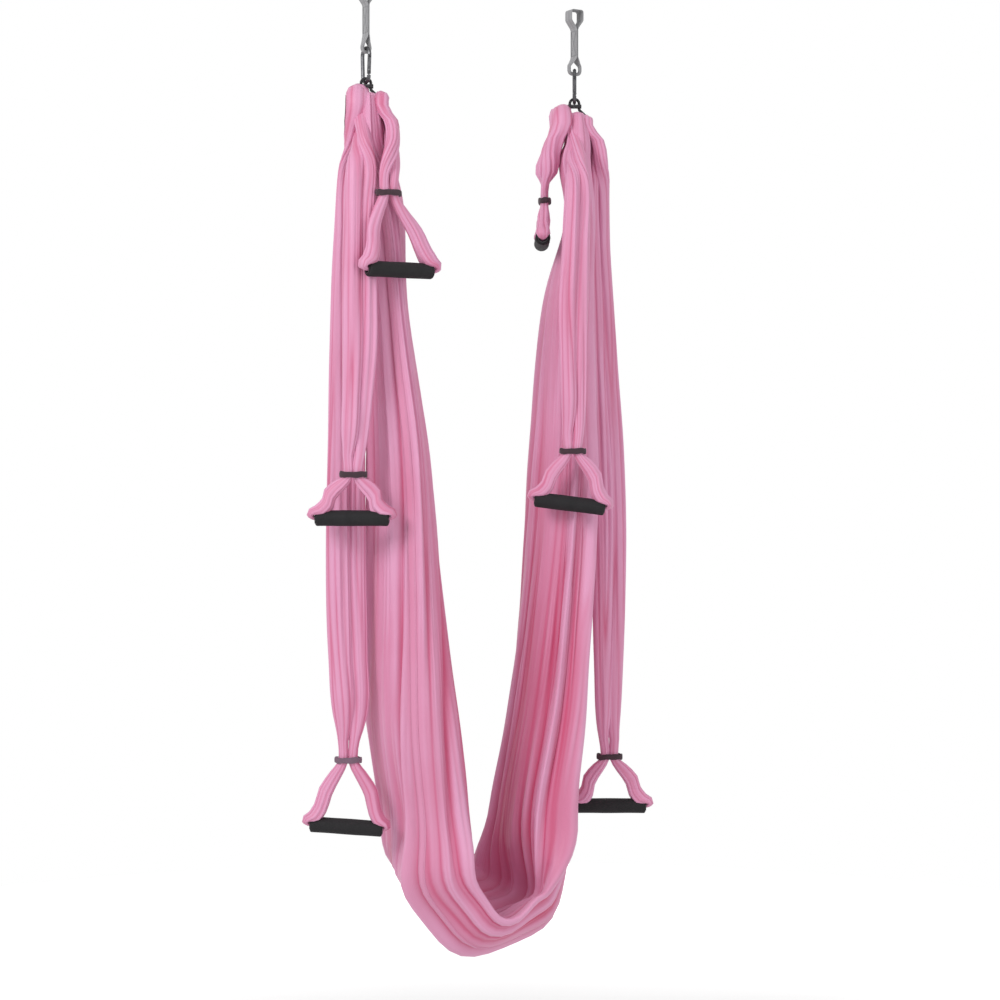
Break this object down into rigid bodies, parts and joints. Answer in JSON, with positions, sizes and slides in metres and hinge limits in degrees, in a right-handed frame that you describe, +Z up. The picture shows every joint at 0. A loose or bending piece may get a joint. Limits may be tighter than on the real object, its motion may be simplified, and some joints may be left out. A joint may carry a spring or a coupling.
{
  "type": "aerial hammock",
  "caption": "Aerial fitness hammock: a gathered nylon sheet that hangs in a V from carabiners and cord slings, with hanging handle straps that end in foam grips.",
  "frame": {"origin": "the place on the underside of the left hanging strap's upper eye where the ceiling hook bears", "axes": "+X from the left ceiling hook to the right one, +Z up, -Y towards the front"},
  "size_m": [0.6027, 0.2148, 1.5276],
  "materials": {
    "pink_nylon": "satin gathered nylon",
    "grey_webbing": "woven, matt",
    "black_cord": "woven, matt",
    "dark_steel": "dark grey, satin",
    "bright_steel": "plain",
    "plum_elastic": "cloth-covered elastic, matt",
    "black_foam": "closed-cell foam, matt, finely pebbled",
    "black_plastic": "smooth"
  },
  "bodies": {
    "hanging_straps": {"hanging_strap_left": "grey_webbing", "hanging_strap_right": "grey_webbing"},
    "hammock": {"hammock_sheet": "pink_nylon", "carabiner_body_left": "dark_steel", "gate_pin_left": "bright_steel", "sling_left": "black_cord", "sling_collar_left": "black_cord", "carabiner_body_right": "dark_steel", "gate_pin_right": "bright_steel", "sling_right": "black_cord", "sling_collar_right": "black_cord"},
    "gate_left": {"carabiner_gate_left": "dark_steel", "gate_spring_left": "bright_steel"},
    "gate_right": {"carabiner_gate_right": "dark_steel", "gate_spring_right": "bright_steel"},
    "strap_left_long": {"strap_left_long": "pink_nylon"},
    "ring_left_long": {"neck_ring_left_long": "plum_elastic"},
    "grip_left_long": {"grip_foam_left_long": "black_foam", "grip_tube_left_long": "black_plastic"},
    "strap_left_mid": {"strap_left_mid": "pink_nylon"},
    "ring_left_mid": {"neck_ring_left_mid": "plum_elastic"},
    "grip_left_mid": {"grip_foam_left_mid": "black_foam", "grip_tube_left_mid": "black_plastic"},
    "strap_left_short": {"strap_left_short": "pink_nylon"},
    "ring_left_short": {"neck_ring_left_short": "plum_elastic"},
    "grip_left_short": {"grip_foam_left_short": "black_foam", "grip_tube_left_short": "black_plastic"},
    "strap_right_long": {"strap_right_long": "pink_nylon"},
    "ring_right_long": {"neck_ring_right_long": "plum_elastic"},
    "grip_right_long": {"grip_foam_right_long": "black_foam", "grip_tube_right_long": "black_plastic"},
    "strap_right_mid": {"strap_right_mid": "pink_nylon"},
    "ring_right_mid": {"neck_ring_right_mid": "plum_elastic"},
    "grip_right_mid": {"grip_foam_right_mid": "black_foam", "grip_tube_right_mid": "black_plastic"},
    "strap_right_short": {"strap_right_short": "pink_nylon"},
    "ring_right_short": {"neck_ring_right_short": "plum_elastic"},
    "grip_right_short": {"grip_foam_right_short": "black_foam", "grip_tube_right_short": "black_plastic"}
  },
  "joints": [
    {"name": "hammock_swing", "type": "hinge", "parent": "hanging_straps", "child": "hammock", "pos_m": [0, 0, -0.104], "axis": [1, 0, 0], "range_deg": [-35, 35]},
    {"name": "gate_hinge_left", "type": "hinge", "parent": "hammock", "child": "gate_left", "pos_m": [0, -0.00986, -0.1369], "axis": [-1, 0, 0], "range_deg": [0, 25], "stiffness_Nm_per_rad": 0.02, "springref_deg": -20.05},
    {"name": "gate_hinge_right", "type": "hinge", "parent": "hammock", "child": "gate_right", "pos_m": [0.38092, -0.00845, -0.1369], "axis": [-0.8572, 0.515, 0], "range_deg": [0, 25], "stiffness_Nm_per_rad": 0.02, "springref_deg": -20.05},
    {"name": "strap_swing_left_long", "type": "hinge", "parent": "hammock", "child": "strap_left_long", "pos_m": [0, 0, -0.1891], "axis": [0.8572, -0.515, 0], "range_deg": [0, 50]},
    {"name": "ring_slide_left_long", "type": "slide", "parent": "strap_left_long", "child": "ring_left_long", "axis": [0, 0, 1], "range_m": [0, 0.02]},
    {"name": "grip_spin_left_long", "type": "hinge", "parent": "strap_left_long", "child": "grip_left_long", "pos_m": [-0.02348, 0.02111, -1.3091], "axis": [0.8551, -0.5138, -0.0698], "continuous": true},
    {"name": "strap_swing_left_mid", "type": "hinge", "parent": "hammock", "child": "strap_left_mid", "pos_m": [0, 0, -0.1891], "axis": [0.8572, -0.515, 0], "range_deg": [-60, 0]},
    {"name": "ring_slide_left_mid", "type": "slide", "parent": "strap_left_mid", "child": "ring_left_mid", "axis": [0, 0, 1], "range_m": [0, 0.02]},
    {"name": "grip_spin_left_mid", "type": "hinge", "parent": "strap_left_mid", "child": "grip_left_mid", "pos_m": [-0.04324, -0.03702, -0.8271], "axis": [0.8572, -0.515, 0], "continuous": true},
    {"name": "strap_swing_left_short", "type": "hinge", "parent": "hammock", "child": "strap_left_short", "pos_m": [0, 0, -0.1891], "axis": [0.8572, -0.515, 0], "range_deg": [-60, 0]},
    {"name": "ring_slide_left_short", "type": "slide", "parent": "strap_left_short", "child": "ring_left_short", "axis": [0, 0, 1], "range_m": [0, 0.02]},
    {"name": "grip_spin_left_short", "type": "hinge", "parent": "strap_left_short", "child": "grip_left_short", "pos_m": [0.02036, -0.0729, -0.4471], "axis": [1, 0, 0], "continuous": true},
    {"name": "strap_swing_right_long", "type": "hinge", "parent": "hammock", "child": "strap_right_long", "pos_m": [0.386, 0, -0.1891], "axis": [0.8572, -0.515, 0], "range_deg": [0, 50]},
    {"name": "ring_slide_right_long", "type": "slide", "parent": "strap_right_long", "child": "ring_right_long", "axis": [0, 0, 1], "range_m": [0, 0.02]},
    {"name": "grip_spin_right_long", "type": "hinge", "parent": "strap_right_long", "child": "grip_right_long", "pos_m": [0.44138, -0.02627, -1.3081], "axis": [0.8572, -0.515, 0], "continuous": true},
    {"name": "strap_swing_right_mid", "type": "hinge", "parent": "hammock", "child": "strap_right_mid", "pos_m": [0.386, 0, -0.1891], "axis": [0.8572, -0.515, 0], "range_deg": [-60, 0]},
    {"name": "ring_slide_right_mid", "type": "slide", "parent": "strap_right_mid", "child": "ring_right_mid", "axis": [0, 0, 1], "range_m": [0, 0.02]},
    {"name": "grip_spin_right_mid", "type": "hinge", "parent": "strap_right_mid", "child": "grip_right_mid", "pos_m": [0.32404, -0.08177, -0.8081], "axis": [0.8508, -0.5112, -0.1219], "continuous": true},
    {"name": "strap_swing_right_short", "type": "hinge", "parent": "hammock", "child": "strap_right_short", "pos_m": [0.386, 0, -0.1891], "axis": [0.8572, -0.515, 0], "range_deg": [-40, 40]},
    {"name": "ring_slide_right_short", "type": "slide", "parent": "strap_right_short", "child": "ring_right_short", "axis": [0, 0, 1], "range_m": [0, 0.02]},
    {"name": "grip_spin_right_short", "type": "hinge", "parent": "strap_right_short", "child": "grip_right_short", "pos_m": [0.34057, 0.0273, -0.3781], "axis": [-0.515, -0.8572, 0], "continuous": true}
  ]
}
